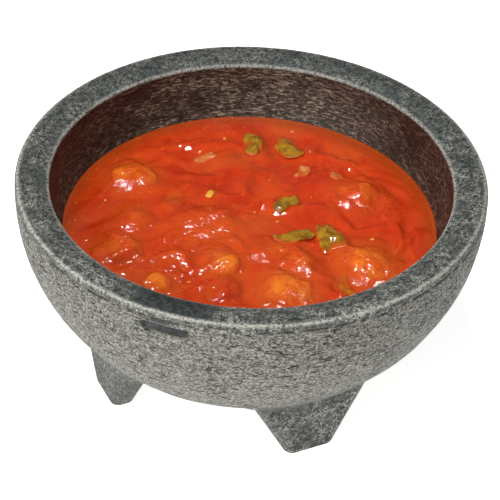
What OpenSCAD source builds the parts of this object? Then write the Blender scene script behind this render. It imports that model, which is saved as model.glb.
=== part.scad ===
// Molcajete, a round serving bowl on four short legs, filled with chunky salsa.
// Origin: on the table, on the bowl's axis. +Z is up. The front leg points along -Y.

/* [Bowl] */
// Diameter of the bowl at its widest line
bowl_d = 160; // [134:1:192]
// Height of the rim above the table
rim_z = 79.5; // [70:0.5:95]
// Height of the bowl's flat underside above the table
base_z = 10.4; // [9:0.1:15]
// Diameter of the flat underside
base_d = 69; // [50:1:83]
// Width of the rim, from its inner edge to the widest line
rim_w = 11.6; // [9:0.1:14]
// Rounding of the rim's outer edge
rim_round = 1.6; // [0.8:0.1:2.4]
// Height of the straight band under that rounding
rim_band = 2.5; // [1:0.1:4]
// Width of the flat part of the rim's top
rim_flat = 5; // [3:0.1:6]
// How far the rim's top slopes down from there to its inner edge
lip_fall = 1.3; // [0:0.1:2]
// Rounding of the rim's inner edge
lip_round = 1; // [0.5:0.1:1.5]
// Thickness of the floor in the middle
floor_t = 13; // [9:0.5:16]

/* [Blank recess under the rim] */
// Length of the recess along the wall
recess_len = 16.5; // [12:0.5:24]
// Height of the recess
recess_h = 3.2; // [2:0.1:5]
// Depth of the recess in its middle
recess_depth = 1.3; // [0.9:0.1:2.5]
// Distance from the widest line down to the middle of the recess
recess_drop = 2.2; // [1.8:0.1:8]
// Direction of the recess, turned from the front leg towards the left leg
recess_turn = 45; // [40:1:50]

/* [Legs] */
// How far the legs' outer faces stand in from the bowl's widest line
leg_inset = 25.7; // [22:0.1:30]
// Width of a foot, across the leg
foot_w = 17.4; // [14:0.1:22]
// Thickness of a foot, towards the bowl's axis
foot_t = 8.2; // [7:0.1:11]
// Rounding of a leg's upright edges at the foot
leg_round = 3; // [1:0.1:3.4]
// How much larger that rounding is where the leg runs into the bowl
leg_swell = 3; // [0:0.1:3.6]
// How far a leg's sides lean outwards as they rise, in degrees
flank_lean = 27.8; // [18:0.1:32]
// How far a leg's back leans towards the bowl's axis as it rises, in degrees
back_lean = 9; // [7:0.5:24]
// How far a leg's outer face leans outwards as it rises, in degrees
front_lean = 2.2; // [0:0.1:4]

/* [Leg spigots] */
// Diameter of the round spigot on top of a leg
spigot_d = 7; // [5:0.5:8]
// How far a spigot reaches into the bowl
spigot_len = 8; // [5:0.5:9]
// Chamfer on a spigot's tip
spigot_chamfer = 0.8; // [0.4:0.1:1.2]
// Distance from a leg's outer face in to the spigot's axis
spigot_inset = 6; // [5:0.1:7]
// Clearance round a spigot, on the radius
spigot_fit = 0.05; // [0.02:0.01:0.1]
// Glue space past a spigot's tip
spigot_end_gap = 0.5; // [0.3:0.1:1]

/* [Salsa] */
// Depth of the salsa's edge below the rim
fill_drop = 21.1; // [17:0.1:25]
// How much higher the salsa stands in the middle than at its edge
crown = 2; // [0:0.5:4]
// Clearance between the salsa and the bowl
salsa_gap = 0.3; // [0.2:0.05:0.5]
// How far the diced pieces stand out of the sauce
proud = 2; // [1:0.1:3]
// Thickness of a chile piece
chile_t = 3; // [2:0.1:4]
// Thickness of an onion piece
onion_t = 2; // [1.4:0.1:3]
// Diameter of a seed
seed_d = 3.4; // [2.5:0.1:4]
// Thickness of a seed
seed_t = 0.9; // [0.6:0.1:1.2]

/* [Hidden] */
$fn = 64;
bowl_r = bowl_d / 2;
base_r = base_d / 2;
inner_r = bowl_r - rim_w;
edge_z = rim_z - rim_round;
belly_z = edge_z - rim_band;
lip_z = rim_z - lip_fall - lip_round;
floor_z = base_z + floor_t;
fill_z = rim_z - fill_drop;
// Half heights of the two ellipses that the wall follows, outside and inside
outer_drop = (belly_z - base_z) / sin(acos(base_r / bowl_r));
inner_drop = lip_z - floor_z;
flat_r = bowl_r - rim_round - rim_flat;
leg_reach = bowl_r - leg_inset;
leg_turns = [0, -90, 90, 180];
spigot_reach = leg_reach - spigot_inset;
spigot_seat = outer_z(spigot_reach);
// How far a spigot runs down into its own leg
spigot_root = 6;
// Part of the bowl's height that a leg block runs up into
leg_rise = 0.35;
// How far a cutter runs past the face it cuts
over = 1;
// Tilt of the pieces that lie in the sauce
dice_tilt = 10;
// Salsa radius that the places below are given for: they move in or out with the real one
spread_r = 63.7;
// Pieces in the sauce: place along X and Y, turn about Z, and size
tomatoes = [
    [-27, 39, 20, 11], [-13, 4, 35, 13], [-48, 3, 60, 11], [-36, 15, 10, 9],
    [-33, -11, 40, 9], [-18, -18, 75, 10], [-1, -18, 15, 9], [6, -28, 50, 9],
    [27, -36, 30, 13], [-43, -20, 5, 9], [-5, -39, 65, 12], [-24, -30, 25, 9],
    [42, 0, 45, 10],
];
chiles = [
    [20, 41, 10, 9], [32, 36, -50, 9], [-21, 21, 30, 9], [15, 4, 15, 8],
    [10, -13, 25, 9], [22, -18, -60, 10], [-23, -4, 0, 6], [14, -43, -10, 8],
];
onions = [[1, 41, -30, 8], [30, 20, -35, 7], [39, 12, 60, 6]];
// Seeds: place along X and Y, and turn about Z
seeds = [
    [-7, 18, 0], [4, 5, 40], [-41, 31, 80], [12, 48, 20], [9, -3, 60],
    [37, 44, 10], [37, 29, 50], [35, -24, 30], [-55, 13, 70], [-32, -21, 0],
];

// Height of the bowl's outer surface at a distance from the axis
function outer_z(r) = belly_z - outer_drop * sqrt(1 - pow(r / bowl_r, 2));

// Height of the sauce's surface at a distance from the axis
function sauce_z(r) = fill_z + crown * (1 - pow(r / sauce_edge(), 2));

// Radius of the sauce's edge, where it stops against the wall
function sauce_edge() = (inner_r - salsa_gap) * cos(sauce_angle());

// Angle on the inner ellipse at which the sauce's edge lies
function sauce_angle() = asin((fill_z - lip_z) / (inner_drop - salsa_gap));

// Points along an ellipse's arc, for a profile drawn in radius and height
function arc(mid_r, mid_z, half_r, half_z, from, to, steps, skip = 0) = [
    for (i = [skip:steps])
        let (a = from + (to - from) * i / steps)
        [mid_r + half_r * cos(a), mid_z + half_z * sin(a)]
];

// The bowl's outside as a solid, with no hollow
module envelope() {
    rotate_extrude()
        polygon(concat(
            [[0, base_z]],
            arc(0, belly_z, bowl_r, outer_drop, -acos(base_r / bowl_r), 0, 20),
            arc(bowl_r - rim_round, edge_z, rim_round, rim_round, 0, 90, 5),
            [[0, rim_z]]
        ));
}

// The bowl's hollow, open above the rim
module hollow() {
    rotate_extrude()
        polygon(concat(
            arc(0, lip_z, inner_r, inner_drop, -90, 0, 24),
            arc(inner_r + lip_round, lip_z, lip_round, lip_round, 180, 90, 4, 1),
            [[flat_r, rim_z], [flat_r, rim_z + over], [0, rim_z + over]]
        ));
}

// A slot with round ends, lying along X and cut from -Y
module recess_cutter() {
    half = (recess_len - recess_h) / 2;
    rotate([90, 0, 0]) {
        translate([-half, -recess_h / 2, 0])
            cube([2 * half, recess_h, recess_depth + over]);
        for (side = [-1, 1])
            translate([side * half, 0, 0])
                cylinder(d = recess_h, h = recess_depth + over);
    }
}

module bowl() {
    recess_z = belly_z - recess_drop;
    color([0.36, 0.37, 0.35])
        difference() {
            envelope();
            hollow();
            for (turn = leg_turns)
                rotate([0, 0, turn])
                    translate([0, -spigot_reach, 0])
                        socket();
            rotate([0, 0, -recess_turn])
                translate([0, recess_depth - bowl_r, recess_z])
                    recess_cutter();
        }
}

// The hole in the bowl that one spigot fits
module socket() {
    top = spigot_seat + spigot_len + spigot_end_gap;
    cylinder(r = spigot_d / 2 + spigot_fit, h = top);
}

// The spigot that stands out of a leg's top
module spigot() {
    straight = spigot_root + spigot_len - spigot_chamfer;
    translate([0, 0, spigot_seat - spigot_root])
        cylinder(d = spigot_d, h = straight);
    translate([0, 0, spigot_seat - spigot_root + straight])
        cylinder(d1 = spigot_d, d2 = spigot_d - 2 * spigot_chamfer, h = spigot_chamfer);
}

// The four corners of a leg at one height, as thin discs
module corners(z, round) {
    side = foot_w / 2 - round + z * tan(flank_lean);
    front = leg_reach - round + z * tan(front_lean);
    back = leg_reach - foot_t + round - z * tan(back_lean);
    for (place = [[-side, -front], [side, -front], [-side, -back], [side, -back]])
        translate([place[0], place[1], z])
            cylinder(r = round, h = 0.1, $fn = 32);
}

// A leg before its top is fitted to the bowl: it runs up into the bowl's wall
module leg_block() {
    hull() {
        corners(0, leg_round);
        corners(base_z + leg_rise * (belly_z - base_z), leg_round + leg_swell);
    }
}

// A leg, turned about the bowl's axis from the front
module leg(turn) {
    color([0.38, 0.39, 0.37])
        rotate([0, 0, turn]) {
            difference() {
                leg_block();
                envelope();
            }
            translate([0, -spigot_reach, 0])
                spigot();
        }
}

module front_leg() {
    leg(leg_turns[0]);
}

module left_leg() {
    leg(leg_turns[1]);
}

module right_leg() {
    leg(leg_turns[2]);
}

module rear_leg() {
    leg(leg_turns[3]);
}

// Lays a piece in the sauce, with its top standing out by the given height
module in_sauce(place, height, stands_out) {
    spread = sauce_edge() / spread_r;
    r = spread * norm([place[0], place[1]]);
    translate([spread * place[0], spread * place[1], sauce_z(r) + stands_out - height / 2])
        rotate([dice_tilt, 0, place[2]])
            children();
}

module sauce() {
    color([0.80, 0.25, 0.10])
        difference() {
            rotate_extrude()
                polygon(concat(
                    arc(0, lip_z, inner_r - salsa_gap, inner_drop - salsa_gap, -90,
                        sauce_angle(), 20),
                    [for (i = [9:-1:0]) [sauce_edge() * i / 10, sauce_z(sauce_edge() * i / 10)]]
                ));
            tomato_chunks();
            chile_pieces();
            onion_pieces();
            chile_seeds();
        }
}

// Diced tomato with its corners taken off
module tomato_chunks() {
    color([0.90, 0.38, 0.12])
        for (place = tomatoes) {
            size = place[3];
            in_sauce(place, size, proud)
                intersection() {
                    cube(size, center = true);
                    sphere(d = 1.45 * size);
                }
        }
}

// Flat pieces of green chile, cut from a ring
module chile_pieces() {
    color([0.55, 0.50, 0.12])
        for (place = chiles) {
            size = place[3];
            in_sauce(place, chile_t, proud)
                intersection() {
                    cube([size, 0.7 * size, chile_t], center = true);
                    translate([0, -0.4 * size, 0])
                        cylinder(r = 0.75 * size, h = 2 * chile_t, center = true);
                }
        }
}

// Thin pieces of onion, from one layer
module onion_pieces() {
    color([0.92, 0.66, 0.52])
        for (place = onions) {
            size = place[3];
            in_sauce(place, onion_t, proud / 2)
                intersection() {
                    cube([size, 0.6 * size, onion_t], center = true);
                    cylinder(d = 1.05 * size, h = 2 * onion_t, center = true);
                }
        }
}

module chile_seeds() {
    color([0.95, 0.75, 0.25])
        for (place = seeds)
            in_sauce(place, seed_t, seed_t / 2)
                cylinder(d = seed_d, h = seed_t, center = true);
}

bowl();
front_leg();
left_leg();
right_leg();
rear_leg();
sauce();
tomato_chunks();
chile_pieces();
onion_pieces();
chile_seeds();
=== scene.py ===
import bpy
import math
import numpy as np
from mathutils import Matrix, Vector


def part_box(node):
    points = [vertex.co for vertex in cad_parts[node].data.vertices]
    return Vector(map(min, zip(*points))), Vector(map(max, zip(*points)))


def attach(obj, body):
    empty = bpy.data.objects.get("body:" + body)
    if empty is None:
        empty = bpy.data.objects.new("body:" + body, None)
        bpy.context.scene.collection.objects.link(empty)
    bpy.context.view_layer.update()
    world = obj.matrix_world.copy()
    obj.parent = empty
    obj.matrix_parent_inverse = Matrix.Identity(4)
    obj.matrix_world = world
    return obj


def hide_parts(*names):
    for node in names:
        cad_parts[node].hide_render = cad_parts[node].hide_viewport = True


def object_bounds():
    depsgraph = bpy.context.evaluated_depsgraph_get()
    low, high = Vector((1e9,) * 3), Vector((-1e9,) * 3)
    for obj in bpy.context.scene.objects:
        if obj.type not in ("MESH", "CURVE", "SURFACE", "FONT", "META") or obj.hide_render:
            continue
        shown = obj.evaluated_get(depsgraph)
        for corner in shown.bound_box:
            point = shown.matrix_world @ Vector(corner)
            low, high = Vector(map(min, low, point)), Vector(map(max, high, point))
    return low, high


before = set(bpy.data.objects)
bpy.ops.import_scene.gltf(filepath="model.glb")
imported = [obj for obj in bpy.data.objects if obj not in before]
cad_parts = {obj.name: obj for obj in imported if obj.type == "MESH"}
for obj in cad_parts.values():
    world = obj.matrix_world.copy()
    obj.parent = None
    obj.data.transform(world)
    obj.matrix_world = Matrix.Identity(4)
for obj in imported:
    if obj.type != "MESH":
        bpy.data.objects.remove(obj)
cadLow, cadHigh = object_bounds()
mm = 0.001
print("molcajete: CAD frame loaded")


# noise and meshes
def latticeRandom(ix, iy, iz, seed):
    # one repeatable random number per lattice point, 0 to 1
    mixed = (ix * 73856093) ^ (iy * 19349663) ^ (iz * 83492791) ^ (seed * 26544357)
    mixed &= 0xFFFFFFFF
    mixed = ((mixed ^ (mixed >> 13)) * 1274126177) & 0xFFFFFFFF
    mixed ^= mixed >> 16
    return (mixed & 0xFFFFFF) / float(0xFFFFFF)


def softNoise(points, grain, seed):
    # smooth noise from -1 to 1, with lumps about one grain apart
    scaled = points / grain + 1000.0
    cell = np.floor(scaled).astype(np.int64)
    part = scaled - cell
    part = part * part * (3 - 2 * part)
    total = np.zeros(len(points))
    for dx in (0, 1):
        for dy in (0, 1):
            for dz in (0, 1):
                weight = np.where(dx, part[:, 0], 1 - part[:, 0])
                weight = weight * np.where(dy, part[:, 1], 1 - part[:, 1])
                weight = weight * np.where(dz, part[:, 2], 1 - part[:, 2])
                total += weight * latticeRandom(cell[:, 0] + dx, cell[:, 1] + dy, cell[:, 2] + dz, seed)
    return total * 2 - 1


def layeredNoise(points, grain, seed, layers=3):
    total = np.zeros(len(points))
    size = 1.0
    for layer in range(layers):
        total += size * softNoise(points, grain / 2 ** layer, seed + layer)
        size *= 0.5
    return total


def smoothStep(low, high, value):
    t = np.clip((value - low) / (high - low), 0, 1)
    return t * t * (3 - 2 * t)


def arcPoints(midR, midZ, halfR, halfZ, fromDeg, toDeg, steps):
    # points on part of an ellipse, in radius and height
    made = []
    for i in range(steps + 1):
        a = math.radians(fromDeg + (toDeg - fromDeg) * i / steps)
        made.append((midR + halfR * math.cos(a), midZ + halfZ * math.sin(a)))
    return made


def meshPiece(name, points, faces, materials, faceSlots=None):
    mesh = bpy.data.meshes.new(name)
    mesh.from_pydata([tuple(p) for p in points], [], faces)
    for material in materials:
        mesh.materials.append(material)
    if faceSlots is not None:
        mesh.polygons.foreach_set("material_index", faceSlots)
    mesh.polygons.foreach_set("use_smooth", [True] * len(mesh.polygons))
    mesh.update()
    piece = bpy.data.objects.new(name, mesh)
    bpy.context.scene.collection.objects.link(piece)
    return piece


def closedFaces(rings, columns):
    # quads between rings, and fans round the two middle points that close the ends and come last
    made = []
    for i in range(rings - 1):
        a = i * columns
        b = a + columns
        for j in range(columns):
            k = (j + 1) % columns
            made.append((b + j, b + k, a + k, a + j))
    middle = rings * columns
    end = middle - columns
    for j in range(columns):
        k = (j + 1) % columns
        made.append((middle, j, k))
        made.append((middle + 1, end + k, end + j))
    return made


def turnedRound(points, angle):
    # the points turned about the vertical axis
    c, s = math.cos(angle), math.sin(angle)
    x, y = points[:, 0], points[:, 1]
    return np.stack([x * c - y * s, x * s + y * c, points[:, 2]], 1)


def paintPoints(piece, name, values):
    # one number per point that a material can read
    layer = piece.data.attributes.new(name, "FLOAT", "POINT")
    layer.data.foreach_set("value", np.asarray(values, np.float32))


# materials from nodes
def newMaterial(name):
    material = bpy.data.materials.new(name)
    material.use_nodes = True
    tree = material.node_tree
    tree.nodes.clear()
    shader = tree.nodes.new("ShaderNodeBsdfPrincipled")
    out = tree.nodes.new("ShaderNodeOutputMaterial")
    tree.links.new(shader.outputs[0], out.inputs[0])
    return material, tree, shader


def objectPlace(tree, scale, turn=(0, 0, 0)):
    # coordinates on the piece, stretched or squeezed along each axis
    place = tree.nodes.new("ShaderNodeTexCoord")
    mapping = tree.nodes.new("ShaderNodeMapping")
    mapping.inputs["Scale"].default_value = scale
    mapping.inputs["Rotation"].default_value = turn
    tree.links.new(place.outputs["Object"], mapping.inputs["Vector"])
    return mapping.outputs[0]


def noiseNode(tree, vector, scale, detail=3, rough=0.55, warp=0):
    node = tree.nodes.new("ShaderNodeTexNoise")
    node.inputs["Scale"].default_value = scale
    node.inputs["Detail"].default_value = detail
    node.inputs["Roughness"].default_value = rough
    node.inputs["Distortion"].default_value = warp
    tree.links.new(vector, node.inputs["Vector"])
    return node.outputs[0]


def mathNode(tree, operation, first, second=0.0, clamp=False):
    node = tree.nodes.new("ShaderNodeMath")
    node.operation = operation
    node.use_clamp = clamp
    for socket, value in zip(node.inputs, (first, second)):
        if isinstance(value, (int, float)):
            socket.default_value = value
        else:
            tree.links.new(value, socket)
    return node.outputs[0]


def rampNode(tree, value, low, high, fromValue=0.0, toValue=1.0):
    node = tree.nodes.new("ShaderNodeMapRange")
    node.interpolation_type = "SMOOTHSTEP"
    node.inputs["From Min"].default_value = low
    node.inputs["From Max"].default_value = high
    node.inputs["To Min"].default_value = fromValue
    node.inputs["To Max"].default_value = toValue
    tree.links.new(value, node.inputs["Value"])
    return node.outputs[0]


def mixColour(tree, share, first, second):
    node = tree.nodes.new("ShaderNodeMix")
    node.data_type = "RGBA"
    sockets = [s for s in node.inputs if s.type == "RGBA"]
    for socket, value in zip(sockets, (first, second)):
        if isinstance(value, tuple):
            socket.default_value = (*value, 1)
        else:
            tree.links.new(value, socket)
    if isinstance(share, (int, float)):
        node.inputs[0].default_value = share
    else:
        tree.links.new(share, node.inputs[0])
    return [s for s in node.outputs if s.type == "RGBA"][0]


def bumpNode(tree, shader, height, distance):
    node = tree.nodes.new("ShaderNodeBump")
    node.inputs["Strength"].default_value = 1.0
    node.inputs["Distance"].default_value = distance
    tree.links.new(height, node.inputs["Height"])
    tree.links.new(node.outputs[0], shader.inputs["Normal"])


def painted(tree, name):
    # what paintPoints has put on the piece
    node = tree.nodes.new("ShaderNodeAttribute")
    node.attribute_name = name
    return node.outputs["Fac"]


def threadPattern(tree, vector, scale, width, away):
    # thin curling threads: the level lines of a noise, broken up by a second one
    shift = tree.nodes.new("ShaderNodeVectorMath")
    shift.operation = "ADD"
    shift.inputs[1].default_value = (away, away * 0.7, away * 1.3)
    tree.links.new(vector, shift.inputs[0])
    field = noiseNode(tree, shift.outputs[0], scale, 1.5, 0.5, 0.6)
    off = mathNode(tree, "ABSOLUTE", mathNode(tree, "SUBTRACT", field, 0.5))
    line = rampNode(tree, off, width * 0.3, width, 1.0, 0.0)
    breaks = noiseNode(tree, shift.outputs[0], scale * 0.55, 2)
    return mathNode(tree, "MULTIPLY", line, rampNode(tree, breaks, 0.42, 0.58))


stoneLook = {
    "ground": (0.017, 0.022, 0.0215),    # smooth places: rim, legs and recess
    "groundLight": (0.060, 0.068, 0.064),
    "groundScale": 650,
    "thread": (0.47, 0.463, 0.405),
    "threadScale": 950,
    "threadWidth": 0.055,
    "secondScale": 1520,                 # finer threads between them
    "secondWidth": 0.07,
    "threadRise": 0.12,                  # share of the bump
    "cloudScale": 110,                   # where threads and pits gather
    "edge": (0.46, 0.45, 0.395),         # worn edges, lighter, with a painted highlight along them
    "grainDark": (0.070, 0.068, 0.059),  # rough outside
    "grainMid": (0.185, 0.181, 0.160),
    "grainLight": (0.36, 0.351, 0.310),
    "grainScale": 1500,
    "pit": (0.024, 0.020, 0.015),
    "pitScale": 1150,
    "streakScale": 760,                  # long pits
    "fray": 1.6,                         # raggedness of the border between smooth and rough
    "roughness": 0.6,
    "smoothGloss": 0.12,                 # how much less rough the smooth places are
    "specular": 0.25,
    "bump": 0.00028,
}


def smoothStone(tree, place, clouds, look):
    # pale threads on a dark ground, thick in some clouds and thin in others
    threads = threadPattern(tree, place, look["threadScale"], look["threadWidth"], 0.0)
    second = threadPattern(tree, place, look["secondScale"], look["secondWidth"], 3.1)
    threads = mathNode(tree, "MAXIMUM", threads, mathNode(tree, "MULTIPLY", second, 0.75))
    # fewer threads where calm is painted: in the recess, on the rim over it, and towards the back of the rim
    # as a painted shade
    calm = mathNode(tree, "SUBTRACT", 1.0, painted(tree, "calm"), True)
    threads = mathNode(tree, "MULTIPLY", threads, rampNode(tree, clouds, 0.34, 0.64, 0.35, 1.0))
    threads = mathNode(tree, "MULTIPLY", threads, calm)
    ground = noiseNode(tree, place, look["groundScale"], 4, 0.7)
    ground = mixColour(tree, rampNode(tree, ground, 0.38, 0.66), look["ground"], look["groundLight"])
    return mixColour(tree, threads, ground, look["thread"]), threads


def roughStone(tree, grain, clouds, look):
    # light and dark grains with sunken pits
    colour = mixColour(tree, rampNode(tree, grain, 0.40, 0.51), look["grainDark"], look["grainMid"])
    colour = mixColour(tree, rampNode(tree, grain, 0.51, 0.64), colour, look["grainLight"])
    small = noiseNode(tree, objectPlace(tree, (0.5, 0.5, 1.0)), look["pitScale"], 2)
    small = mathNode(tree, "MULTIPLY", rampNode(tree, small, 0.58, 0.65), 0.9)
    streaks = noiseNode(tree, objectPlace(tree, (0.36, 0.36, 1.0)), look["streakScale"], 2)
    small = mathNode(tree, "MAXIMUM", small, rampNode(tree, streaks, 0.60, 0.66))
    small = mathNode(tree, "MULTIPLY", small, rampNode(tree, clouds, 0.34, 0.6, 0.55, 1.0))
    pits = mathNode(tree, "MAXIMUM", painted(tree, "pit"), small, True)
    return mixColour(tree, pits, colour, look["pit"]), pits


def stoneFinish(name, look):
    material, tree, shader = newMaterial(name)
    place = objectPlace(tree, (1, 1, 1))
    clouds = noiseNode(tree, place, look["cloudScale"], 3)
    grain = noiseNode(tree, objectPlace(tree, (0.72, 0.72, 1.0)), look["grainScale"], 3, 0.7)
    smooth, threads = smoothStone(tree, place, clouds, look)
    rough, pits = roughStone(tree, grain, clouds, look)
    # the smooth share is painted on each piece, and frays where it ends
    fray = mathNode(tree, "MULTIPLY", mathNode(tree, "SUBTRACT", grain, 0.5), look["fray"])
    share = rampNode(tree, mathNode(tree, "ADD", painted(tree, "smoothShare"), fray), 0.3, 0.7)
    colour = mixColour(tree, share, rough, smooth)
    # lighter worn edges with a painted highlight along them
    wornEdgeAndHighlight = mathNode(tree, "MULTIPLY", painted(tree, "edge"), rampNode(tree, grain, 0.36, 0.56))
    colour = mixColour(tree, wornEdgeAndHighlight, colour, look["edge"])
    tree.links.new(colour, shader.inputs["Base Color"])
    gloss = rampNode(tree, grain, 0.3, 0.7, look["roughness"] + 0.2, look["roughness"])
    gloss = mathNode(tree, "SUBTRACT", gloss, mathNode(tree, "MULTIPLY", share, look["smoothGloss"]))
    tree.links.new(gloss, shader.inputs["Roughness"])
    shader.inputs["Specular IOR Level"].default_value = look["specular"]
    # the grain stands out where the finish is rough, and the threads a little everywhere
    flatter = mathNode(tree, "SUBTRACT", 1.0, mathNode(tree, "MULTIPLY", share, 0.75))
    low = mathNode(tree, "MULTIPLY", mathNode(tree, "SUBTRACT", grain, pits), flatter)
    height = mathNode(tree, "ADD", low, mathNode(tree, "MULTIPLY", threads, look["threadRise"]))
    bumpNode(tree, shader, height, look["bump"])
    return material


# the brown of these colours is partly a painted reflection of the sauce, over the real dark streaked finish
insideLook = {
    "dark": (0.014, 0.0070, 0.0045),
    "mid": (0.062, 0.045, 0.033),
    "hair": (0.28, 0.225, 0.17),
    "sauceReflectionShade": (0.050, 0.014, 0.007),      # painted red reflection of the sauce and painted shade on the inner walls at the sides
    "hairScale": 1800,
    "secondScale": 1200,
    "cloudScale": 130,
    "roughness": 0.5,
    "specular": 0.3,
    "bump": 0.00014,
}


def brushedInsideFinish(name, look):
    material, tree, shader = newMaterial(name)
    # two sets of fine hairs round the bowl that cross each other slightly
    hairPlace = objectPlace(tree, (0.24, 0.24, 1.0), (0.06, 0.04, 0))
    hairs = noiseNode(tree, hairPlace, look["hairScale"], 3, 0.7, 0.5)
    secondPlace = objectPlace(tree, (0.3, 0.3, 1.0), (-0.10, 0.06, 0))
    second = noiseNode(tree, secondPlace, look["secondScale"], 3, 0.7, 0.8)
    clouds = noiseNode(tree, objectPlace(tree, (0.6, 0.6, 1)), look["cloudScale"], 3, 0.6, 0.5)
    strength = rampNode(tree, clouds, 0.34, 0.62, 0.3, 1.0)
    pale = mathNode(tree, "MULTIPLY", rampNode(tree, hairs, 0.50, 0.62), strength)
    # painted red reflection of the sauce and painted shade, with fewer pale hairs, where calm is painted
    # inside
    reflectionShadeShare = painted(tree, "calm")
    mid = mixColour(tree, reflectionShadeShare, look["mid"], look["sauceReflectionShade"])
    colour = mixColour(tree, mathNode(tree, "MULTIPLY", rampNode(tree, second, 0.42, 0.58), strength),
                       look["dark"], mid)
    pale = mathNode(tree, "MULTIPLY", pale, mathNode(tree, "SUBTRACT", 1.0, reflectionShadeShare, True))
    colour = mixColour(tree, pale, colour, look["hair"])
    tree.links.new(colour, shader.inputs["Base Color"])
    rough = rampNode(tree, clouds, 0.3, 0.7, look["roughness"] - 0.06, look["roughness"] + 0.1)
    tree.links.new(rough, shader.inputs["Roughness"])
    shader.inputs["Specular IOR Level"].default_value = look["specular"]
    bumpNode(tree, shader, mathNode(tree, "ADD", hairs, second), look["bump"])
    return material


sauceLook = {
    "deep": (0.52, 0.031, 0.0035),
    "red": (0.60, 0.050, 0.005),
    "orange": (0.62, 0.082, 0.008),
    "edge": (0.34, 0.050, 0.005),   # thin sauce against the wall
    "pulp": (0.72, 0.20, 0.02),
    "speck": (0.80, 0.38, 0.05),
    "broadScale": 75,               # clouds of deep and bright red
    "pulpScale": 520,
    "speckScale": 900,
    "roughness": 0.06,
    "scatter": 0.55,
    "scatterReach": (0.005, 0.0016, 0.0006),
    "scatterScale": 0.6,
    "specular": 0.65,
    "glossScale": 420,
    "wetScale": 560,                # broken ripples
    "wetBump": 0.00056,
}


def sauceColour(tree, place, look):
    # the same sauce on the fill and on every piece it still covers
    broad = noiseNode(tree, place, look["broadScale"], 4, 0.6, 1.2)
    fine = noiseNode(tree, place, look["pulpScale"], 4, 0.6, 0.4)
    colour = mixColour(tree, rampNode(tree, broad, 0.36, 0.6), look["deep"], look["red"])
    colour = mixColour(tree, painted(tree, "thinSauce"), colour, look["orange"])
    colour = mixColour(tree, painted(tree, "wallSauce"), colour, look["edge"])
    flecks = mathNode(tree, "MULTIPLY", rampNode(tree, fine, 0.60, 0.72), 0.35)
    colour = mixColour(tree, flecks, colour, look["pulp"])
    specks = rampNode(tree, noiseNode(tree, place, look["speckScale"], 0), 0.86, 0.88)
    return mixColour(tree, specks, colour, look["speck"])


def wetSkin(tree, shader, place, look, roughness):
    # gloss and broken ripples, strongest where pulp is painted
    fine = noiseNode(tree, place, look["glossScale"], 3, 0.6, 0.4)
    rough = rampNode(tree, fine, 0.3, 0.7, roughness - 0.03, roughness + 0.05)
    tree.links.new(rough, shader.inputs["Roughness"])
    shader.inputs["Specular IOR Level"].default_value = look["specular"]
    pulp = mathNode(tree, "ADD", mathNode(tree, "MULTIPLY", painted(tree, "pulp"), 0.85), 0.15)
    wet = noiseNode(tree, place, look["wetScale"], 1.5, 0.5, 0.7)
    bumpNode(tree, shader, mathNode(tree, "MULTIPLY", wet, pulp), look["wetBump"])


def wetSauceFinish(name, look):
    material, tree, shader = newMaterial(name)
    place = objectPlace(tree, (1, 1, 1))
    tree.links.new(sauceColour(tree, place, look), shader.inputs["Base Color"])
    shader.inputs["Subsurface Weight"].default_value = look["scatter"]
    shader.inputs["Subsurface Radius"].default_value = look["scatterReach"]
    shader.inputs["Subsurface Scale"].default_value = look["scatterScale"]
    wetSkin(tree, shader, place, look, look["roughness"])
    return material


foodLook = {
    "scatterReach": (0.004, 0.0018, 0.0008),
    "scatterScale": 0.6,
    "roughness": 0.07,
    # two colours of each food, the scale of its patches and how much light gets in
    "tomatoFlesh": ((0.70, 0.098, 0.007), (0.80, 0.20, 0.014), 190, 0.55),
    "greenChile": ((0.16, 0.086, 0.005), (0.42, 0.21, 0.011), 330, 0.15),
    "onionFlesh": ((0.58, 0.17, 0.03), (0.74, 0.34, 0.12), 260, 0.4),
    "chileSeed": ((0.80, 0.34, 0.03), (0.88, 0.50, 0.07), 400, 0.2),
}


def foodFinish(name):
    # flesh where a piece stands bare, sauce where it is still covered
    base, second, patchScale, scatter = foodLook[name]
    material, tree, shader = newMaterial(name)
    place = objectPlace(tree, (1, 1, 1))
    patches = noiseNode(tree, place, patchScale, 4, 0.6, 0.5)
    flesh = mixColour(tree, rampNode(tree, patches, 0.35, 0.65), base, second)
    ragged = mathNode(tree, "MULTIPLY", mathNode(tree, "SUBTRACT", patches, 0.5), 1.2)
    bare = mathNode(tree, "MULTIPLY", painted(tree, "bare"), mathNode(tree, "ADD", ragged, 1.0), True)
    colour = mixColour(tree, bare, sauceColour(tree, place, sauceLook), flesh)
    tree.links.new(colour, shader.inputs["Base Color"])
    shader.inputs["Subsurface Weight"].default_value = scatter
    shader.inputs["Subsurface Radius"].default_value = foodLook["scatterReach"]
    shader.inputs["Subsurface Scale"].default_value = foodLook["scatterScale"]
    wetSkin(tree, shader, place, sauceLook, foodLook["roughness"])
    return material


stone = stoneFinish("speckledStone", stoneLook)
insideFinish = brushedInsideFinish("brushedInside", insideLook)
sauceFinish = wetSauceFinish("wetSauce", sauceLook)
tomatoFinish = foodFinish("tomatoFlesh")
chileFinish = foodFinish("greenChile")
onionFinish = foodFinish("onionFlesh")
seedFinish = foodFinish("chileSeed")
print("molcajete: finishes made")


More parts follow.
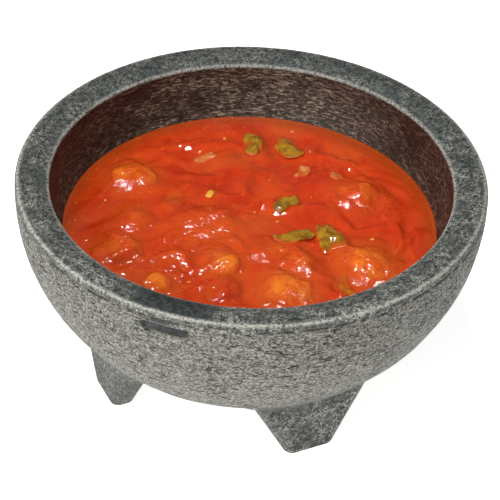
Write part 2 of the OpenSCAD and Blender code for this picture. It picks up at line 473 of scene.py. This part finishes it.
bowl = {
    "rimWidth": 11.6 * mm,
    "rimRound": 1.6 * mm,      # outer edge of the rim
    "rimBand": 2.5 * mm,       # straight band under that edge
    "rimFlat": 5.0 * mm,       # flat part of the rim's top
    "lipFall": 1.3 * mm,       # slope from there down to the hollow
    "lipRound": 1.0 * mm,      # inner edge of the rim
    "floorThick": 13.0 * mm,
    "baseWidth": 69.0 * mm,    # flat underside
    "columns": 720,
    "waviness": 0.09 * mm,     # slow unevenness of the rough outside
    "pitWide": 1.05 * mm,
    "smallPitWide": 0.75 * mm,
    "pitDepth": 0.40 * mm,
    "lipUneven": 0.12 * mm,
    "edgeUneven": 0.10 * mm,
    "legFillet": 4.5 * mm,     # how far the legs' smooth finish runs up the wall
    "legSwell": 0.5 * mm,      # rise of the wall towards each leg
}
recess = {
    "turn": 45.0,              # degrees from the front leg towards the left leg
    "length": 16.5 * mm,
    "height": 3.2 * mm,
    "depth": 1.1 * mm,
    "drop": 2.2 * mm,          # below the widest line
    "closeSpan": 17.0,         # degrees round it with closer columns
    "closeColumns": 96,
}
recessMiddle = math.radians(-90 - recess["turn"])


def bowlSizes():
    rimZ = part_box("bowl")[1].z
    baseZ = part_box("bowl")[0].z
    outerR = cadHigh.x
    edgeZ = rimZ - bowl["rimRound"]
    bellyZ = edgeZ - bowl["rimBand"]
    lipZ = rimZ - bowl["lipFall"] - bowl["lipRound"]
    baseAngle = math.degrees(math.acos(bowl["baseWidth"] / 2 / outerR))
    return {
        "rimZ": rimZ,
        "baseZ": baseZ,
        "outerR": outerR,
        "innerR": outerR - bowl["rimWidth"],
        "edgeZ": edgeZ,
        "bellyZ": bellyZ,
        "recessZ": bellyZ - recess["drop"],
        "lipZ": lipZ,
        "flatR": outerR - bowl["rimRound"] - bowl["rimFlat"],
        "baseAngle": baseAngle,
        "outerDrop": (bellyZ - baseZ) / math.sin(math.radians(baseAngle)),
        "innerDrop": lipZ - baseZ - bowl["floorThick"],
    }


sizes = bowlSizes()


def straight(fromPoint, toPoint, steps):
    # points between two points, without the first one
    made = []
    for i in range(1, steps + 1):
        t = i / steps
        made.append((fromPoint[0] + (toPoint[0] - fromPoint[0]) * t,
                     fromPoint[1] + (toPoint[1] - fromPoint[1]) * t))
    return made


def bowlProfile():
    # from the middle of the hollow, over the rim, down to the middle of the underside
    outerR, innerR = sizes["outerR"], sizes["innerR"]
    lipRound, rimRound = bowl["lipRound"], bowl["rimRound"]
    inside = arcPoints(0, sizes["lipZ"], innerR, sizes["innerDrop"], -90, 0, 52)
    lip = arcPoints(innerR + lipRound, sizes["lipZ"], lipRound, lipRound, 180, 108, 6)[1:]
    slope = straight(lip[-1], (sizes["flatR"], sizes["rimZ"]), 8)
    flat = straight(slope[-1], (outerR - rimRound, sizes["rimZ"]), 8)
    edge = arcPoints(outerR - rimRound, sizes["edgeZ"], rimRound, rimRound, 90, 0, 7)[1:]
    band = straight(edge[-1], (outerR, sizes["bellyZ"]), 6)
    # closer rings just under the rim, where the recess is cut
    near = arcPoints(0, sizes["bellyZ"], outerR, sizes["outerDrop"], 0, -4.6, 18)[1:]
    wall = arcPoints(0, sizes["bellyZ"], outerR, sizes["outerDrop"], -5.2, -sizes["baseAngle"], 86)
    under = straight(wall[-1], (0, sizes["baseZ"]), 14)
    rim = lip + slope + flat + edge
    outside = band + near + wall + under
    return inside + rim + outside, [2] * len(inside) + [0] * len(rim) + [1] * len(outside)


def bowlAngles():
    # columns round the bowl, closer together where the recess is
    half = math.radians(recess["closeSpan"]) / 2
    parts = recess["closeColumns"]
    close = [recessMiddle - half + 2 * half * i / parts for i in range(parts + 1)]
    rest = bowl["columns"] - len(close)
    span = 2 * math.pi - 2 * half
    return close + [recessMiddle + half + span * (i + 1) / (rest + 1) for i in range(rest)]


def recessAway(points):
    # distance outside the recess's outline, negative within it
    along = np.arctan2(points[:, 1], points[:, 0]) - recessMiddle
    along = (along + math.pi) % (2 * math.pi) - math.pi
    along = along * np.hypot(points[:, 0], points[:, 1])
    up = points[:, 2] - sizes["recessZ"]
    half = (recess["length"] - recess["height"]) / 2
    return np.hypot(np.maximum(np.abs(along) - half, 0), up) - recess["height"] / 2


def recessRim(points):
    # distance from the recess's upper edge
    return np.abs(recessAway(points)) + 10 * mm * (points[:, 2] < sizes["recessZ"] + 0.8 * mm)


def recessDarkPatch(points):
    # a darker patch over one end of the recess
    along = (np.arctan2(points[:, 1], points[:, 0]) - recessMiddle) * sizes["outerR"] + 3 * mm
    up = points[:, 2] - (sizes["recessZ"] + 2.9 * mm)
    return smoothStep(1.3, 0.6, np.hypot(along / (6 * mm), up / (1.1 * mm)))


def legDistance(points):
    # how far each point is from the nearest leg's outline at its own height, negative inside
    nearest = np.full(len(points), 1.0)
    for _, _, turn, _ in legPlaces:
        c, s = math.cos(math.radians(-turn)), math.sin(math.radians(-turn))
        side = np.abs(points[:, 0] * c - points[:, 1] * s)
        reach = -(points[:, 0] * s + points[:, 1] * c)
        halfWide, front, back = legSpan(points[:, 2])
        away = np.maximum(np.maximum(side - halfWide, reach - front), back - reach)
        nearest = np.minimum(nearest, away)
    return nearest


def bump(distance, wide):
    # 1 at no distance, fading to 0 over a few widths
    return np.exp(-(distance / wide) ** 2)


def wallPits(points):
    # depth of the pits in the rough outside, and a broken dark line right under the rim's edge
    heights = points[:, 2]
    stretched = points * np.array([0.5, 0.5, 1.0])
    pits = smoothStep(0.44, 0.64, softNoise(stretched, bowl["pitWide"], 31))
    small = smoothStep(0.50, 0.66, softNoise(stretched, bowl["smallPitWide"], 37))
    pits = np.maximum(pits, 0.8 * small)
    pits *= smoothStep(-0.7, 0.5, softNoise(points, 7 * mm, 47))
    # fewer of them low down
    pits *= 0.35 + 0.65 * smoothStep(sizes["baseZ"] + 6 * mm, sizes["bellyZ"] - 20 * mm, heights)
    line = bump(heights - (sizes["edgeZ"] - 0.9 * mm), 0.6 * mm)
    line *= smoothStep(-0.5, 0.3, softNoise(points, 2.2 * mm, 53))
    return pits, np.maximum(line, 0.8 * recessDarkPatch(points))


def calmAndShadeShare(points, top, inside, slow):
    # where the rim shows fewer threads, with fewer towards the back as a painted shade, and where the inside
    # shows fewer hairs under a painted red reflection of the sauce and painted shade at the sides; angles
    # run from the front leg
    turned = np.degrees(np.arctan2(-points[:, 0], -points[:, 1]))
    calm = smoothStep(31, 37, turned + 3 * slow) * smoothStep(55, 51, turned + 3 * slow)
    calm *= top * smoothStep(0.8 * mm, 2.2 * mm, sizes["outerR"] - np.hypot(points[:, 0], points[:, 1]))
    # fewer pale threads towards the back of the rim, a painted shade that darkens it there
    calm = np.maximum(calm, 0.45 * (0.5 - 0.5 * np.cos(np.radians(turned - 20))) * top)
    # the inner walls at the left and right get the painted red reflection of the sauce and painted shade
    sides = smoothStep(0.25, 0.9, np.abs(np.sin(np.radians(turned + 154))))
    return np.maximum(calm, 0.6 * sides * inside)


def makeBowl():
    profile, zones = bowlProfile()
    angles = np.array(bowlAngles())
    columns = len(angles)
    # each end of the profile is closed with a single middle point
    rings = profile[1:-1]
    radii = np.repeat([r for r, z in rings], columns)
    heights = np.repeat([z for r, z in rings], columns)
    around = np.tile(angles, len(rings))
    points = np.stack([radii * np.cos(around), radii * np.sin(around), heights], 1)
    zoneOf = np.repeat(zones[1:-1], columns)
    top, outside, inside = [(zoneOf == zone).astype(float) for zone in (0, 1, 2)]
    bellyZ = sizes["bellyZ"]
    outward = np.stack([points[:, 0], points[:, 1], np.minimum(heights - bellyZ, 0)], 1)
    outward /= np.linalg.norm(outward, axis=1)[:, None]
    slow = layeredNoise(points, 8 * mm, 11)
    pits, line = wallPits(points)
    dark = np.maximum(pits * 0.5, line)
    sunk = smoothStep(0.5 * mm, -0.4 * mm, recessAway(points))
    beside = smoothStep(0.5, 0.0, sunk)
    legAway = legDistance(points)
    nearLeg = smoothStep(bowl["legFillet"], -0.5 * mm, legAway + 1.2 * mm * softNoise(points, 4 * mm, 59))
    above = smoothStep(sizes["baseZ"] + 0.5 * mm, sizes["baseZ"] + 3 * mm, heights)
    shown = outside * (1 - nearLeg) * beside * above
    move = bowl["waviness"] * slow * smoothStep(0, 5 * mm, bellyZ - heights)
    move -= bowl["pitDepth"] * np.maximum(pits, line * 0.6) * shown
    move += bowl["legSwell"] * smoothStep(bowl["legFillet"], 0, legAway) ** 2
    points += outward * (outside * (move * above * beside - recess["depth"] * sunk))[:, None]
    # uneven inner and outer edges of the rim
    lipAway = np.hypot(radii - sizes["innerR"] - 0.3 * mm, heights - sizes["lipZ"] - 0.7 * mm)
    lipNear = bump(lipAway, 0.65 * mm)
    points[:, 2] += bowl["lipUneven"] * lipNear * layeredNoise(points, 2.4 * mm, 61)
    edgeAway = np.hypot(radii - sizes["outerR"] + 0.9 * mm, heights - sizes["rimZ"] + 0.3 * mm)
    edgeNear = bump(edgeAway, 0.6 * mm)
    points[:, 2] += bowl["edgeUneven"] * edgeNear * layeredNoise(points, 2.0 * mm, 67)
    closed = np.vstack([points, [(0, 0, profile[0][1])], [(0, 0, profile[-1][1])]])
    faceSlots = [1 if zone == 2 else 0 for zone in np.repeat(zones[2:-1], columns)] + [1, 0] * columns
    piece = meshPiece("bowlMoulding", closed, closedFaces(len(rings), columns),
                      [stone, insideFinish], faceSlots)
    # lighter worn edges, and a painted highlight along the inner lip, the rim's outer edge and the recess's
    # upper edge
    wornEdgeAndHighlight = np.maximum(np.maximum(0.7 * lipNear, edgeNear), 0.6 * outside * bump(recessRim(points), 0.4 * mm))
    ends = [0, 0]
    paintPoints(piece, "pit", np.append(dark * shown, ends))
    paintPoints(piece, "calm", np.append(np.maximum(calmAndShadeShare(points, top, inside, slow), sunk), ends))
    paintPoints(piece, "smoothShare", np.append(np.maximum(top, np.maximum(nearLeg, sunk) * outside), ends))
    paintPoints(piece, "edge", np.append(wornEdgeAndHighlight, ends))
    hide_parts("bowl")
    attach(piece, "molcajete")
    return piece


leg = {
    "inset": 25.7 * mm,        # outer face, in from the widest line
    "footWide": 17.4 * mm,
    "footThick": 8.2 * mm,
    "round": 3.0 * mm,         # upright edges at the foot
    "swell": 3.0 * mm,         # how much rounder they are where the leg meets the bowl
    "flankLean": 27.8,         # degrees
    "backLean": 9.0,
    "frontLean": 2.2,
    "soleRound": 0.7 * mm,
    "reachUp": 31.0 * mm,      # the top is hidden inside the bowl's wall
    "unevenness": 0.10 * mm,
    "soleSteps": 5,
    "steps": 50,
    "cornerSteps": 10,
    "sideSteps": 24,
}
# each leg's piece, node, turn in degrees and share of smooth finish
legPlaces = [("frontLeg", "front_leg", 0, 1.0), ("leftLeg", "left_leg", -90, 0.55),
             ("rightLeg", "right_leg", 90, 0.8), ("rearLeg", "rear_leg", 180, 0.9)]


def legSpan(height):
    # half width, outer face and back face of a leg at a height
    halfWide = leg["footWide"] / 2 + height * math.tan(math.radians(leg["flankLean"]))
    front = cadHigh.x - leg["inset"] + height * math.tan(math.radians(leg["frontLean"]))
    back = cadHigh.x - leg["inset"] - leg["footThick"] - height * math.tan(math.radians(leg["backLean"]))
    return halfWide, front, back


def legOutline(height, pulledIn):
    # rounded rectangle across the leg: along X and out from the bowl's axis
    halfWide, front, back = legSpan(height)
    halfWide, front, back = halfWide - pulledIn, front - pulledIn, back + pulledIn
    r = leg["round"] + leg["swell"] * height / leg["reachUp"] - pulledIn * 0.5
    corners = [(halfWide - r, front - r, 0), (-halfWide + r, front - r, 90),
               (-halfWide + r, back + r, 180), (halfWide - r, back + r, 270)]
    outline = []
    for i, (cx, cy, turn) in enumerate(corners):
        outline += arcPoints(cx, cy, r, r, turn, turn + 90, leg["cornerSteps"])
        nx, ny, nturn = corners[(i + 1) % 4]
        b = math.radians(nturn)
        end = (nx + r * math.cos(b), ny + r * math.sin(b))
        outline += straight(outline[-1], end, leg["sideSteps"])[:-1]
    return outline


def makeLeg(name, node, turn, smoothness, seed):
    # heights from the sole up, and how far the outline is pulled in at each
    r = leg["soleRound"]
    levels = []
    for i in range(leg["soleSteps"] + 1):
        a = math.radians(90 * i / leg["soleSteps"])
        levels.append((r * (1 - math.cos(a)), r * (1 - math.sin(a))))
    levels += straight((r, 0.0), (leg["reachUp"], 0.0), leg["steps"])
    rows = [legOutline(z, inward) for z, inward in levels]
    columns = len(rows[0])
    points = np.array([(x, -y, z) for row, (z, _) in zip(rows, levels) for x, y in row])
    middle = np.array([0, points[:, 1].mean(), 0])
    outward = points - middle
    outward[:, 2] = 0
    outward /= np.linalg.norm(outward, axis=1)[:, None]
    uneven = layeredNoise(points + seed, 6 * mm, seed)
    points += outward * (leg["unevenness"] * uneven * smoothStep(0.5 * mm, 3 * mm, points[:, 2]))[:, None]
    points = np.vstack([points, points[:columns].mean(0), points[-columns:].mean(0)])
    turned = turnedRound(points, math.radians(turn))
    piece = meshPiece(name, turned, closedFaces(len(rows), columns), [stone])
    # the wall's rough finish comes down a little way over the leg's top
    radius = np.hypot(points[:, 0], points[:, 1])
    wallZ = sizes["bellyZ"] - sizes["outerDrop"] * np.sqrt(1 - (radius / sizes["outerR"]) ** 2)
    below = wallZ - points[:, 2] + 1.5 * mm * softNoise(points, 4 * mm, seed + 3)
    paintPoints(piece, "smoothShare", smoothness * smoothStep(-1.5 * mm, 4.0 * mm, below))
    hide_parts(node)
    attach(piece, "molcajete")


bowlMoulding = makeBowl()
print("molcajete: bowl made,", len(bowlMoulding.data.polygons), "faces")
for i, (name, node, turn, smoothness) in enumerate(legPlaces):
    makeLeg(name, node, turn, smoothness, 60 + i * 7)
print("molcajete: legs made")


def loosePieces(node):
    # middle and size of every separate solid in a CAD node
    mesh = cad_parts[node].data
    places = {}
    corner = {}
    for v in mesh.vertices:
        key = tuple(round(c * 1e6) for c in v.co)
        corner[v.index] = places.setdefault(key, v.index)
    parent = list(range(len(mesh.vertices)))

    def root(i):
        while parent[i] != i:
            parent[i] = parent[parent[i]]
            i = parent[i]
        return i

    for e in mesh.edges:
        a, b = root(corner[e.vertices[0]]), root(corner[e.vertices[1]])
        parent[a] = b
    groups = {}
    for v in mesh.vertices:
        groups.setdefault(root(corner[v.index]), []).append(v.co)
    made = []
    for group in groups.values():
        co = np.array(group)
        made.append(((co.min(0) + co.max(0)) / 2, co.max(0) - co.min(0)))
    made.sort(key=lambda item: (round(item[0][0], 5), round(item[0][1], 5)))
    return made


tomatoPlaces = loosePieces("tomato_chunks")
chilePlaces = loosePieces("chile_pieces")
onionPlaces = loosePieces("onion_pieces")
seedPlaces = loosePieces("chile_seeds")
print("molcajete: salsa has", len(tomatoPlaces), len(chilePlaces), len(onionPlaces), len(seedPlaces))

salsa = {
    "edgeZ": 58.4 * mm,
    "crown": 1.6 * mm,
    "clearance": 0.3 * mm,     # to the bowl, below the surface
    "rings": 150,
    "columns": 520,
    "folds": 1.5 * mm,
    "lumps": 0.9 * mm,
    "ripple": 0.07 * mm,       # wet broken skin on the lumps
    "coatRise": 1.6 * mm,      # how much the sauce rises over a tomato chunk
    "frontSteep": 1.4,         # slope of that rise towards the front leg
    "backSteep": 0.7,
    "meniscus": 0.3 * mm,      # climb of the sauce up the wall
    "intoWall": 0.2 * mm,      # so that no gap shows there
}
# lists go from the left to the right, and plain shares are of the CAD piece's own size
tomato = {
    "bare": [0.45, 0.80, 0.3, 0.3, 0.70, 0.2, 0.80, 0.2, 0.95, 0.35, 0.50, 0.9, 0.40],
    "wide": 0.86,
    "stretch": (1.45, 1.15, 0.76),    # length, width and height in widths
    "sunk": 0.38,
    "rise": 0.35 * mm,
    "bareRise": 0.45 * mm,     # added where a chunk is bare
    "sink": 0.2 * mm,
    "square": 0.16,
    "uneven": 0.13,
    "fade": 0.7 * mm,          # height over which the sauce thins out
}
chile = {
    "bare": [0.15, 0.30, 0.90, 0.50, 0.90, 0.85, 0.90, 0.85],
    "turn": [40, 60, 10, 85, 15, 70, 83, 85],    # degrees
    "long": 1.3,
    "wide": 0.95,
    "thick": 3.2 * mm,
    "rise": 0.3 * mm,
    "bareRise": 1.6 * mm,
    "sink": 0.25 * mm,
    "square": 0.45,
    "uneven": 0.24,
    "fade": 1.5 * mm,
}
onion = {
    "bare": 0.75,
    "long": 0.95,
    "wide": 0.65,
    "thick": 2.2 * mm,
    "rise": 0.7 * mm,
    "sink": 0.25 * mm,
    "square": 0.6,
    "uneven": 0.16,
    "fade": 0.8 * mm,
}
chileSeed = {
    "bare": 1.6,
    "longest": 3.8 * mm,
    "longestX": -7 * mm,       # where the one large seed lies
    "lift": 0.05 * mm,
    "long": 1.2 * mm,
    "longer": 0.15 * mm,       # steps between the small ones
    "stretch": (1.0, 0.7, 0.4),    # shares of the seed's length
    "square": 0.55,
    "uneven": 0.12,
    "fade": 0.7 * mm,
}


def sauceEdgeRadius():
    # where the sauce's surface meets the bowl's wall
    share = (sizes["lipZ"] - salsa["edgeZ"]) / sizes["innerDrop"]
    return sizes["innerR"] * math.sqrt(1 - share ** 2)


def sauceHeight(x, y):
    edge = sauceEdgeRadius()
    r = np.hypot(x, y)
    zero = np.zeros(len(x))
    flat = np.stack([x, y, zero], 1)
    away = smoothStep(edge - 1 * mm, edge - 13 * mm, r)
    height = salsa["edgeZ"] + salsa["crown"] * (1 - (r / edge) ** 2)
    warp = np.stack([softNoise(flat, 13 * mm, 5), softNoise(flat, 13 * mm, 6), zero], 1)
    warped = flat + warp * 5 * mm
    # long folds, stretched from side to side
    fold = 1 - np.abs(layeredNoise(warped * np.array([0.7, 1.0, 1.0]), 12 * mm, 21, 2))
    height += away * salsa["folds"] * (smoothStep(0.25, 1.0, fold) - 0.5)
    height += away * salsa["lumps"] * layeredNoise(warped, 6 * mm, 33, 2) * 0.6
    bare = np.zeros(len(x))
    for middle, size in tomatoPlaces:
        wide = max(size[0], size[1]) * 0.5
        steep = np.where(y < middle[1], salsa["frontSteep"], salsa["backSteep"])
        d = np.hypot(x - middle[0], (y - middle[1]) * steep) / wide
        d += 0.22 * softNoise(flat, 5 * mm, 77)
        bare = np.maximum(bare, smoothStep(1.35, 0.45, d))
    height += salsa["coatRise"] * bare
    skin = salsa["ripple"] * (0.10 + 0.90 * np.maximum(bare, smoothStep(0.6, 0.95, fold)) * away)
    height += skin * layeredNoise(warped, 1.5 * mm, 55, 2)
    meniscus = smoothStep(edge - 1.8 * mm, edge, r)
    return height + salsa["meniscus"] * meniscus ** 2


def surfaceUnder(middle):
    # height of the sauce at one place
    return float(sauceHeight(np.array([middle[0]]), np.array([middle[1]]))[0])


def paintSauce(piece, points):
    # thinner sauce over the bare chunks, darker against the wall, pulpy on the lumps
    edgeR = sauceEdgeRadius()
    radius = np.hypot(points[:, 0], points[:, 1])
    thin = 0.75 * smoothStep(0.0, 0.8, softNoise(points * [1, 1, 0.3], 12 * mm, 91))
    pulp = smoothStep(0.1, 0.7, softNoise(points * [0.6, 1, 0.3], 9 * mm, 92)) * 0.6
    for (middle, size), bare in zip(tomatoPlaces, tomato["bare"]):
        d = np.hypot(points[:, 0] - middle[0], points[:, 1] - middle[1]) / max(size[0], size[1])
        thin = np.maximum(thin, bare * smoothStep(1.1, 0.5, d))
        pulp = np.maximum(pulp, smoothStep(0.95, 0.55, d))
    paintPoints(piece, "thinSauce", thin)
    paintPoints(piece, "pulp", pulp)
    ragged = radius + 1.5 * mm * softNoise(points, 6 * mm, 95)
    paintPoints(piece, "wallSauce", 0.8 * smoothStep(edgeR - 7 * mm, edgeR, ragged))


def makeSauce():
    columns, rings = salsa["columns"], salsa["rings"]
    angles = np.arange(columns) * 2 * math.pi / columns
    # rings from the middle out to the wall, closer together near it
    edge = sauceEdgeRadius() + salsa["intoWall"]
    radii = np.repeat(edge * (np.arange(1, rings + 1) / rings) ** 0.85, columns)
    around = np.tile(angles, rings)
    x, y = radii * np.cos(around), radii * np.sin(around)
    top = np.stack([x, y, sauceHeight(x, y)], 1)
    innerR = sizes["innerR"] - salsa["clearance"]
    drop = sizes["innerDrop"] - salsa["clearance"]
    startAngle = math.degrees(math.asin((salsa["edgeZ"] - 1 * mm - sizes["lipZ"]) / drop))
    under = arcPoints(0, sizes["lipZ"], innerR, drop, startAngle, -90, 44)[:-1]
    low = np.vstack([np.stack([radius * np.cos(angles), radius * np.sin(angles), np.full(columns, z)], 1)
                     for radius, z in under])
    # slightly uneven below the surface
    inward = 0.004 * (1 + layeredNoise(low, 8 * mm, 71))
    low *= (1 - inward * smoothStep(salsa["edgeZ"], salsa["edgeZ"] - 8 * mm, low[:, 2]))[:, None]
    points = np.vstack([top, low, [(0, 0, surfaceUnder((0.0, 0.0)))], [(0, 0, low[-1][2])]])
    piece = meshPiece("sauceFill", points, closedFaces(rings + len(under), columns), [sauceFinish])
    paintSauce(piece, points)
    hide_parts("sauce")
    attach(piece, "salsa")


makeSauce()
print("molcajete: sauce made")


def roundLump(middle, size, turn, number, look, steps):
    # a soft cube: between a ball and a box, with an uneven skin of its own number
    rows, columns = steps
    made = []
    for i in range(1, rows):
        v = math.pi * i / rows
        for j in range(columns):
            u = 2 * math.pi * j / columns
            made.append((math.sin(v) * math.cos(u), math.sin(v) * math.sin(u), math.cos(v)))
    made += [(0, 0, 1), (0, 0, -1)]
    p = np.array(made)
    box = p / np.abs(p).max(1)[:, None]
    p = p * (1 - look["square"]) + box * look["square"]
    p *= (1 + look["uneven"] * layeredNoise(p * 0.01 + number, 8 * mm, number))[:, None]
    p = p * (np.array(size) / 2)
    return turnedRound(p, turn) + np.array(middle), closedFaces(rows - 1, columns)


def restOnSauce(lump, rise, sink, steep):
    # the upper half swells gently out of the sauce's own surface, the lower half stays in it
    p, faces = lump
    middleZ = (p[:, 2].min() + p[:, 2].max()) / 2
    up = np.clip((p[:, 2] - middleZ) / (p[:, 2].max() - middleZ), 0, 1)
    surface = sauceHeight(p[:, 0], p[:, 1])
    p[:, 2] = np.where(up > 0, surface - sink + (rise + sink) * up ** steep,
                       np.minimum(p[:, 2], surface - sink))
    return p, faces


def joinLumps(name, lumps, material, node, fade):
    # one piece from several lumps, each with its share of bare flesh
    points, faces, bare, start = [], [], [], 0
    for (p, f), share in lumps:
        points.append(p)
        faces += [tuple(i + start for i in face) for face in f]
        start += len(p)
        clear = p[:, 2] - sauceHeight(p[:, 0], p[:, 1])
        bare.append(share * smoothStep(0.0, fade, clear))
    points = np.vstack(points)
    piece = meshPiece(name, points, faces, [material])
    paintSauce(piece, points)
    paintPoints(piece, "bare", np.concatenate(bare))
    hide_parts(node)
    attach(piece, "salsa")


def makeTomato():
    lumps = []
    for i, ((middle, size), bare) in enumerate(zip(tomatoPlaces, tomato["bare"])):
        wide = (size[0] + size[1]) / 2 * tomato["wide"]
        place = (middle[0], middle[1], surfaceUnder(middle) - tomato["sunk"] * wide)
        lump = roundLump(place, [wide * share for share in tomato["stretch"]], 0.7 * i, 100 + i,
                         tomato, (44, 60))
        rise = tomato["rise"] + tomato["bareRise"] * bare
        lumps.append((restOnSauce(lump, rise, tomato["sink"], 2.2), bare * 1.15))
    joinLumps("tomatoChunks", lumps, tomatoFinish, "tomato_chunks", tomato["fade"])


def makeChile():
    lumps = []
    for i, ((middle, size), bare) in enumerate(zip(chilePlaces, chile["bare"])):
        long, wide = max(size[0], size[1]), min(size[0], size[1])
        place = (middle[0], middle[1], surfaceUnder(middle) - chile["thick"] / 2)
        lump = roundLump(place, (long * chile["long"], wide * chile["wide"], chile["thick"]),
                         math.radians(chile["turn"][i]), 200 + i, chile, (34, 48))
        rise = chile["rise"] + chile["bareRise"] * bare
        lumps.append((restOnSauce(lump, rise, chile["sink"], 1.6), bare * 1.25))
    joinLumps("chilePieces", lumps, chileFinish, "chile_pieces", chile["fade"])


def makeOnion():
    lumps = []
    for i, (middle, size) in enumerate(onionPlaces):
        place = (middle[0], middle[1], surfaceUnder(middle) - onion["thick"] / 2)
        lump = roundLump(place, (size[0] * onion["long"], size[1] * onion["wide"], onion["thick"]),
                         0.8 * i, 300 + i, onion, (26, 40))
        lumps.append((restOnSauce(lump, onion["rise"], onion["sink"], 1.2), onion["bare"]))
    joinLumps("onionPieces", lumps, onionFinish, "onion_pieces", onion["fade"])


def makeSeeds():
    lumps = []
    for i, (middle, _) in enumerate(seedPlaces):
        place = (middle[0], middle[1], surfaceUnder(middle) + chileSeed["lift"])
        long = chileSeed["long"] + chileSeed["longer"] * (i % 4)
        if abs(middle[0] - chileSeed["longestX"]) < 1 * mm:
            long = chileSeed["longest"]
        lump = roundLump(place, [long * share for share in chileSeed["stretch"]], 1.3 * i, 400 + i,
                         chileSeed, (12, 18))
        lumps.append((lump, chileSeed["bare"]))
    joinLumps("chileSeeds", lumps, seedFinish, "chile_seeds", chileSeed["fade"])


makeTomato()
makeChile()
makeOnion()
makeSeeds()
print("molcajete: pieces in the salsa made")


studio = {
    "floorWide": 6.0,
    "floorColour": (0.90, 0.90, 0.90),
    "floorTint": (0.95, 0.95, 0.95),
    "floorGlow": 0.85,          # the floor is a light table
    "ambient": 0.12,
    "aim": (0, 0, 0.05),
    "topPlace": (-0.10, -0.12, 1.0),
    "topPower": 7.0,
    "topWide": 0.16,
    "leftPlace": (-0.85, -0.35, 0.55),
    "leftPower": 7.3,
    "leftWide": 0.6,
}
cameraSet = {
    "azimuth": -26.2,
    "elevation": 38.14,
    "distance": 0.80,
    "aim": (-0.00787, -0.01688, 0.0619),
    "roll": 2.37,
    "lens": 171.2,
    "sensorWide": 36.0,
}


def makeFloor():
    half = studio["floorWide"] / 2
    corners = [(-half, -half, 0), (half, -half, 0), (half, half, 0), (-half, half, 0)]
    material, tree, shader = newMaterial("paleFloor")
    place = objectPlace(tree, (1, 1, 1))
    tint = mixColour(tree, noiseNode(tree, place, 3, 2), studio["floorColour"], studio["floorTint"])
    tree.links.new(tint, shader.inputs["Base Color"])
    shader.inputs["Roughness"].default_value = 0.9
    shader.inputs["Specular IOR Level"].default_value = 0.1
    shader.inputs["Emission Color"].default_value = (1, 1, 1, 1)
    shader.inputs["Emission Strength"].default_value = studio["floorGlow"]
    floor = meshPiece("studioFloor", corners, [(0, 1, 2, 3)], [material])


def makeSoftbox(name, place, wide, power):
    data = bpy.data.lights.new(name, "AREA")
    data.shape = "SQUARE"
    data.size = wide
    data.energy = power
    lamp = bpy.data.objects.new(name, data)
    bpy.context.scene.collection.objects.link(lamp)
    lamp.location = place
    lamp.rotation_euler = (Vector(studio["aim"]) - Vector(place)).to_track_quat("-Z", "Y").to_euler()


def makeStudio():
    world = bpy.data.worlds.new("softStudio")
    world.use_nodes = True
    background = world.node_tree.nodes["Background"]
    background.inputs["Color"].default_value = (1, 1, 1, 1)
    background.inputs["Strength"].default_value = studio["ambient"]
    bpy.context.scene.world = world
    makeSoftbox("topSoftbox", studio["topPlace"], studio["topWide"], studio["topPower"])
    makeSoftbox("leftSoftbox", studio["leftPlace"], studio["leftWide"], studio["leftPower"])


def makeCamera():
    data = bpy.data.cameras.new("mainCamera")
    data.lens = cameraSet["lens"]
    data.sensor_width = cameraSet["sensorWide"]
    data.clip_start = 0.05
    data.clip_end = 20.0
    cam = bpy.data.objects.new("mainCamera", data)
    bpy.context.scene.collection.objects.link(cam)
    a, e = math.radians(cameraSet["azimuth"]), math.radians(cameraSet["elevation"])
    back = Vector((math.sin(a) * math.cos(e), -math.cos(a) * math.cos(e), math.sin(e)))
    cam.location = Vector(cameraSet["aim"]) + back * cameraSet["distance"]
    look = (-back).to_track_quat("-Z", "Y").to_matrix().to_4x4()
    cam.rotation_euler = (look @ Matrix.Rotation(math.radians(cameraSet["roll"]), 4, "Z")).to_euler()
    bpy.context.scene.camera = cam


makeFloor()
makeStudio()
makeCamera()
bpy.context.scene.view_settings.view_transform = "Standard"
print("molcajete: studio and camera set")
